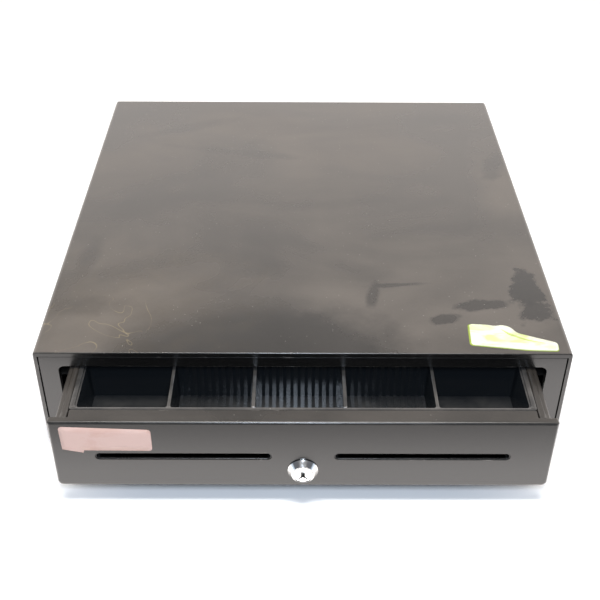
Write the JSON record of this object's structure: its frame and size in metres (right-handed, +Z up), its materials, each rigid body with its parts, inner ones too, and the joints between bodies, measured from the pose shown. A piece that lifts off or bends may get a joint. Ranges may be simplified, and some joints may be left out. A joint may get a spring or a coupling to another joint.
{
  "type": "cash drawer",
  "caption": "Flat black steel cash drawer standing partly open, with a plastic till insert of coin and note bays, media slots and a cam lock in its face.",
  "frame": {"origin": "centre of the assembly's footprint, on the surface that the feet stand on, with the drawer standing open as stored", "axes": "+Z up, +Y towards the back of the casing, the drawer opens towards -Y, +X to the right seen from the front"},
  "size_m": [0.41, 0.5056, 0.1],
  "materials": {
    "casing_paint": "fine-textured black powder coat, semi-gloss, dusty and lightly scratched",
    "drawer_paint": "fine-textured black powder coat, semi-gloss",
    "inner_steel": "zinc-plated pressed steel",
    "slide_steel": "bright zinc-plated rolled steel with a film of grease",
    "spring_steel": "bare spring steel",
    "lock_chrome": "polished chrome plate on a die-cast lock",
    "insert_plastic": "glossy black moulded plastic",
    "trim_plastic": "black moulded plastic",
    "foot_rubber": "matt black rubber",
    "coil_tape": "amber insulating tape over a copper winding",
    "board_green": "green solder mask on a glass-fibre board"
  },
  "bodies": {
    "casing": {"cover": "casing_paint", "base_pan": "casing_paint", "front_frame": "casing_paint", "rear_panel": "casing_paint", "foot_front_left": "foot_rubber", "foot_rear_left": "foot_rubber", "foot_front_right": "foot_rubber", "foot_rear_right": "foot_rubber", "cover_screw_left": "inner_steel", "cover_screw_right": "inner_steel", "slide_bracket_right": "inner_steel", "slide_bracket_left": "inner_steel", "slide_outer_right": "slide_steel", "slide_outer_left": "slide_steel", "lock_keeper": "inner_steel", "latch_bracket": "inner_steel", "latch_pin": "spring_steel", "latch_spring": "spring_steel", "solenoid_frame": "inner_steel", "solenoid_coil": "coil_tape", "ejector_bracket": "inner_steel", "ejector_spring": "spring_steel", "switch_bracket": "inner_steel", "switch_body": "trim_plastic", "stop_buffer_right": "foot_rubber", "stop_buffer_left": "foot_rubber", "control_board": "board_green", "data_socket": "trim_plastic"},
    "drawer": {"drawer_front": "drawer_paint", "drawer_pan": "drawer_paint", "slot_chute_right": "trim_plastic", "slot_chute_left": "trim_plastic", "insert_rail_right": "inner_steel", "insert_rail_left": "inner_steel", "latch_strike": "inner_steel", "lock_housing": "lock_chrome", "lock_nut": "inner_steel", "till_insert": "insert_plastic", "coin_divider_left": "insert_plastic", "coin_divider_right": "insert_plastic", "clip_rod": "spring_steel", "slide_inner_right": "slide_steel", "slide_inner_left": "slide_steel"},
    "slide_stage_left": {"slide_mid_left": "slide_steel"},
    "slide_stage_right": {"slide_mid_right": "slide_steel"},
    "lock_plug": {"lock_cylinder": "lock_chrome", "lock_cam": "inner_steel"},
    "lock_slider": {"lock_bolt": "inner_steel"},
    "latch_lever": {"latch_hook": "spring_steel"},
    "latch_link": {"solenoid_plunger": "spring_steel"},
    "ejector": {"ejector_plunger": "spring_steel"},
    "switch_arm": {"switch_lever": "spring_steel"},
    "clip_1": {"note_clip_1": "spring_steel"},
    "clip_2": {"note_clip_2": "spring_steel"},
    "clip_3": {"note_clip_3": "spring_steel"},
    "clip_4": {"note_clip_4": "spring_steel"},
    "clip_5": {"note_clip_5": "spring_steel"}
  },
  "joints": [
    {"name": "drawer_slide", "type": "slide", "parent": "casing", "child": "drawer", "axis": [0, -1, 0], "range_m": [-0.06, 0.19]},
    {"name": "slide_stage_left", "type": "slide", "parent": "casing", "child": "slide_stage_left", "axis": [0, -1, 0], "range_m": [-0.03, 0.095]},
    {"name": "slide_stage_right", "type": "slide", "parent": "casing", "child": "slide_stage_right", "axis": [0, -1, 0], "range_m": [-0.03, 0.095]},
    {"name": "lock_turn", "type": "hinge", "parent": "drawer", "child": "lock_plug", "pos_m": [0, -0.24755, 0.0353], "axis": [0, 1, 0], "range_deg": [-90, 90]},
    {"name": "lock_bolt_slide", "type": "slide", "parent": "drawer", "child": "lock_slider", "axis": [0, 0, -1], "range_m": [-0.0042, 0.0042]},
    {"name": "latch_swing", "type": "hinge", "parent": "casing", "child": "latch_lever", "pos_m": [0, 0.15615, 0.028], "axis": [-1, 0, 0], "range_deg": [0, 12]},
    {"name": "solenoid_stroke", "type": "slide", "parent": "casing", "child": "latch_link", "axis": [0, 0, -1], "range_m": [0, 0.0042]},
    {"name": "ejector_stroke", "type": "slide", "parent": "casing", "child": "ejector", "axis": [0, -1, 0], "range_m": [0, 0.045], "deforming": ["ejector_spring"]},
    {"name": "switch_swing", "type": "hinge", "parent": "casing", "child": "switch_arm", "pos_m": [0.114, 0.11355, 0.0275], "axis": [0, 0, 1], "range_deg": [0, 10]},
    {"name": "note_clip_1_lift", "type": "hinge", "parent": "drawer", "child": "clip_1", "pos_m": [-0.1332, 0.01915, 0.076], "axis": [-1, 0, 0], "range_deg": [0, 35], "stiffness_Nm_per_rad": 0.06, "springref_deg": -28.65},
    {"name": "note_clip_2_lift", "type": "hinge", "parent": "drawer", "child": "clip_2", "pos_m": [-0.0666, 0.01915, 0.076], "axis": [-1, 0, 0], "range_deg": [0, 35], "stiffness_Nm_per_rad": 0.06, "springref_deg": -28.65},
    {"name": "note_clip_3_lift", "type": "hinge", "parent": "drawer", "child": "clip_3", "pos_m": [0, 0.01915, 0.076], "axis": [-1, 0, 0], "range_deg": [0, 35], "stiffness_Nm_per_rad": 0.06, "springref_deg": -28.65},
    {"name": "note_clip_4_lift", "type": "hinge", "parent": "drawer", "child": "clip_4", "pos_m": [0.0666, 0.01915, 0.076], "axis": [-1, 0, 0], "range_deg": [0, 35], "stiffness_Nm_per_rad": 0.06, "springref_deg": -28.65},
    {"name": "note_clip_5_lift", "type": "hinge", "parent": "drawer", "child": "clip_5", "pos_m": [0.1332, 0.01915, 0.076], "axis": [-1, 0, 0], "range_deg": [0, 35], "stiffness_Nm_per_rad": 0.06, "springref_deg": -28.65}
  ],
  "couplings": [
    {"joint": "slide_stage_left", "follows": "drawer_slide", "ratio": 0.5},
    {"joint": "slide_stage_right", "follows": "drawer_slide", "ratio": 0.5},
    {"joint": "lock_bolt_slide", "follows": "lock_turn", "m_per_rad": 0.002673},
    {"joint": "solenoid_stroke", "follows": "latch_swing", "m_per_rad": 0.02}
  ]
}
